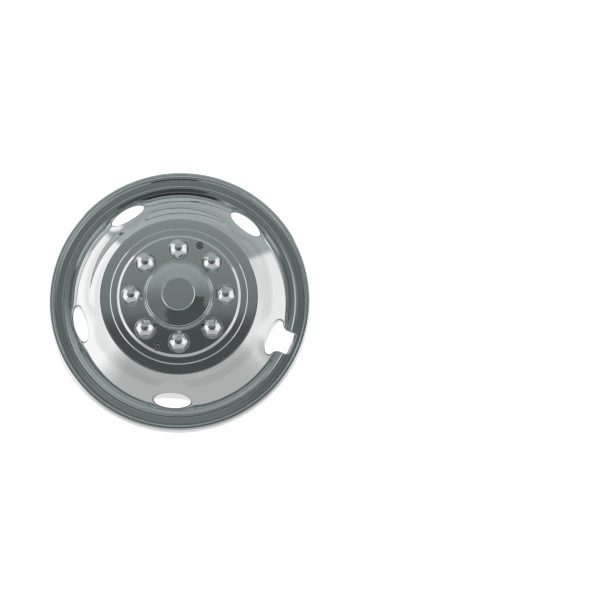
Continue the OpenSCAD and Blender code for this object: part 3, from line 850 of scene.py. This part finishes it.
# Lamp: a soft round one above, a little past the wheel's top. It only casts the shadow, since
# what the metal mirrors is the studio.
LAMP_SIZE, LAMP_POWER, LAMP_PLACE = 0.7, 70.0, (0.1, 0.95, 2.6)
lamp_data = bpy.data.lights.new("soft_lamp", "AREA")
lamp_data.shape, lamp_data.size, lamp_data.energy = "DISK", LAMP_SIZE, LAMP_POWER
lamp = bpy.data.objects.new("soft_lamp", lamp_data)
bpy.context.scene.collection.objects.link(lamp)
lamp.location = LAMP_PLACE
lamp.rotation_euler = (Vector((0, 0, 0)) - lamp.location).to_track_quat("-Z", "Y").to_euler()
lamp.visible_glossy = False

# Studio: what the metal mirrors. Dim and greenish above, darkest where the camera stands, with
# white screens to the left and right and greyer ones at the wheel's top and bottom.
REFLECTANCE = 0.81
ROOM_TINT = (0.86, 1.0, 0.985)
AMBIENT_GREY = 0.16
PLAIN = 231.7
# SHADED, FILL, HALF_FILL and BLACK_ARC are painted light and shade for light that the metal has mirrored
# more than once.
SHADED = (0.03, 0.03, 0.03, 1)
FILL = (0.66, 0.74, 0.73, 1)
HALF_FILL = (0.44, 0.51, 0.50, 1)
BLACK_ARC = (0.03, 0.035, 0.034, 1)


def linear(grey):
    value = grey / 255
    return value / 12.92 if value <= 0.04045 else ((value + 0.055) / 1.055) ** 2.4


def ramp(tree, low, high, stops):
    """A ramp over degrees from low to high, of (degrees, grey as the metal shows it, tint)."""
    made = tree.nodes.new("ShaderNodeValToRGB")
    band = made.color_ramp
    stops = sorted(stops)
    for i, (degrees, grey, tinted) in enumerate(stops):
        at = (degrees - low) / (high - low)
        if 0 < i < len(stops) - 1:
            element = band.elements.new(at)
        else:
            element = band.elements[0 if i == 0 else -1]
            element.position = at
        value = linear(grey) / REFLECTANCE
        tint = [1 + (t - 1) * tinted for t in ROOM_TINT]
        element.color = (value * tint[0], value * tint[1], value * tint[2], 1)
    share = tree.nodes.new("ShaderNodeMapRange")
    share.inputs["From Min"].default_value = math.radians(low)
    share.inputs["From Max"].default_value = math.radians(high)
    tree.links.new(share.outputs["Result"], made.inputs["Fac"])
    return share.inputs["Value"], made.outputs["Color"]


def step_between(tree, value, low, high):
    """0 below low degrees, 1 above high degrees, smooth between; low may be the larger."""
    share = node(tree, "ShaderNodeMapRange", interpolation_type="SMOOTHSTEP")
    share.inputs["From Min"].default_value = math.radians(low)
    share.inputs["From Max"].default_value = math.radians(high)
    tree.links.new(value, share.inputs["Value"])
    return share.outputs["Result"]


def math_node(tree, operation, *values):
    made = node(tree, "ShaderNodeMath", operation=operation)
    for socket, value in zip(made.inputs, values):
        tree.links.new(value, socket)
    return made.outputs[0]


def between(tree, value, one_side, other_side):
    """1 between the two soft edges, each given as step_between takes it."""
    steps = [step_between(tree, value, *edge) for edge in (one_side, other_side)]
    return math_node(tree, "MULTIPLY", *steps)


def mix(tree, factor, a, b, blend_type="MIX"):
    made = node(tree, "ShaderNodeMix", data_type="RGBA", blend_type=blend_type)
    for socket, value in (("Factor", factor), ("A", a), ("B", b)):
        if isinstance(value, tuple):
            made.inputs[socket].default_value = value if len(value) > 1 else value[0]
        else:
            tree.links.new(value, made.inputs[socket])
    return made.outputs["Result"]


def depth_is(tree, path, number):
    """1 for light that the metal has mirrored that many times."""
    made = node(tree, "ShaderNodeMath", operation="COMPARE")
    made.inputs[1].default_value, made.inputs[2].default_value = number, 0.5
    tree.links.new(path.outputs["Glossy Depth"], made.inputs[0])
    return made.outputs[0]


world = bpy.data.worlds.new("studio")
bpy.context.scene.world = world
world.use_nodes = True
tree = world.node_tree
tree.nodes.clear()
place = node(tree, "ShaderNodeTexCoord")
part = node(tree, "ShaderNodeSeparateXYZ")
tree.links.new(place.outputs["Generated"], part.inputs[0])
x, y, z = (part.outputs[name] for name in "XYZ")
polar = math_node(tree, "ARCCOSINE", z)
around = math_node(tree, "ARCTAN2", y, x)
sideways = math_node(tree, "ARCTAN2", x, z)
aside = math_node(tree, "ABSOLUTE", sideways)
upward = math_node(tree, "ARCTAN2", y, z)
room_at, room = ramp(tree, -90, 90, [
    (-90, 175, 1), (-60, 165, 1), (-44, 124, 1), (-30, 111, 1), (-12, 104, 1), (4, 107, 1),
    (8, 115, 1), (11, 126, 1), (14, 141, 1), (18, 149, 1), (25, 157, 1), (33, 138, 1),
    (38, 112, 1), (47, 105, 1), (58, 92, 1), (90, 92, 1),
])
side_at, beside = ramp(tree, -90, 90, [
    (-90, 108, 1), (-20, 103, 1), (0, 98, 1), (20, 95, 1), (90, 90, 1),
])
dark_at, dark = ramp(tree, -90, 90, [
    (-90, 104, 1), (-22, 100, 1), (-19, 62, 1), (-14, 62, 1), (-9, 78, 1), (0, 78, 1),
    (8, 74, 1), (90, 74, 1),
])
screens_at, screens = ramp(tree, -180, 180, [
    (-180, 248, 0), (-152, 247, 0), (-143, 208, 0.2), (-135, 180, 0.3), (-122, 176, 0.3),
    (-60, 176, 0.3), (-44, 178, 0.3), (-36, 190, 0.2), (-27, 226, 0.1), (-18, 234, 0),
    (36, 232, 0), (38.5, 168, 0.7), (90, 170, 0.8), (132.5, 176, 0.7), (135, 247, 0),
    (180, 248, 0),
])
horizon_at, horizon = ramp(tree, 0, 180, [
    (0, PLAIN, 0), (82, PLAIN, 0), (90, 216, 0), (96, 212, 0), (101, 229, 0), (180, PLAIN, 0),
])
tree.links.new(polar, horizon_at)
screens = mix(tree, (1.0,), screens, horizon, blend_type="MULTIPLY")
tree.links.new(upward, side_at)
tree.links.new(upward, room_at)
tree.links.new(upward, dark_at)
tree.links.new(around, screens_at)
patch = math_node(
    tree, "MULTIPLY",
    between(tree, sideways, (-9.5, -7.5), (9.8, 9.0)), between(tree, upward, (8.4, 7.2), (-23, -20)),
)
room = mix(tree, step_between(tree, aside, 16, 30), room, beside)
mirrored = mix(tree, step_between(tree, polar, 55, 63), mix(tree, patch, room, dark), screens)
# Painted light and shade in the reflections: where the metal has mirrored the light two, three or more
# times, the studio is swapped for fixed fills and darks, chosen by that count and the direction, which
# darkens the well and gives the black arcs.
path = node(tree, "ShaderNodeLightPath")
steep = step_between(tree, polar, 46, 40)
filled = math_node(tree, "MAXIMUM", steep, between(tree, around, (60, 80), (165, 150)))
mirrored = mix(tree, depth_is(tree, path, 3), mirrored, mix(tree, filled, SHADED, FILL))
often = node(tree, "ShaderNodeMath", operation="GREATER_THAN")
often.inputs[1].default_value = 3.5
tree.links.new(path.outputs["Glossy Depth"], often.inputs[0])
mirrored = mix(tree, often.outputs[0], mirrored, FILL)
low_band = math_node(
    tree, "MULTIPLY",
    between(tree, upward, (-14, -18), (-72, -66)), step_between(tree, aside, 26, 20),
)
from_well = math_node(tree, "MULTIPLY", depth_is(tree, path, 2), low_band)
overhead = math_node(tree, "MULTIPLY", steep, step_between(tree, upward, -2, -8))
twice = math_node(tree, "MULTIPLY", depth_is(tree, path, 2), overhead)
mirrored = mix(tree, twice, mirrored, HALF_FILL)
mirrored = mix(tree, from_well, mirrored, BLACK_ARC)
ambient = (AMBIENT_GREY, AMBIENT_GREY, AMBIENT_GREY, 1)
lit = mix(tree, path.outputs["Is Glossy Ray"], ambient, mirrored)
seen = mix(tree, path.outputs["Is Camera Ray"], lit, (1, 1, 1, 1))
sky = node(tree, "ShaderNodeBackground")
end = node(tree, "ShaderNodeOutputWorld")
join(tree, (seen, sky.inputs["Color"]), (sky.outputs[0], end.inputs["Surface"]))

# Camera: straight above, tilted a little toward the bottom of the wheel, with a long lens. The
# wheel's middle stands left of the picture's, as in the photograph.
SENSOR_WIDTH, LENS, PICTURE = 36.0, 67.4, 600
DISTANCE, AIM_PIXEL = 2.02, (179.7, 297.7)
camera_data = bpy.data.cameras.new("camera")
camera = bpy.data.objects.new("camera", camera_data)
bpy.context.scene.collection.objects.link(camera)
bpy.context.scene.camera = camera
camera_data.sensor_width = SENSOR_WIDTH
camera_data.lens = LENS
aim = Vector((0, 0, 0.03))
tilt, yaw = math.radians(8.8), math.radians(3.1)
back = Vector((math.sin(yaw), -math.sin(tilt), math.cos(tilt))).normalized()
camera.location = aim + back * DISTANCE
focal = camera_data.lens / camera_data.sensor_width * PICTURE
side = Vector((0, 1, 0)).cross(back).normalized()
look = Matrix((side, back.cross(side), back)).transposed()
aim_ray = Vector((
    (AIM_PIXEL[0] - PICTURE / 2) / focal, (PICTURE / 2 - AIM_PIXEL[1]) / focal, -1,
)).normalized()
shift = aim_ray.rotation_difference(Vector((0, 0, -1))).to_matrix()
camera.rotation_euler = (look @ shift).to_euler()
camera_data.clip_start, camera_data.clip_end = 0.1, 50

bpy.context.scene.view_settings.view_transform = "Standard"
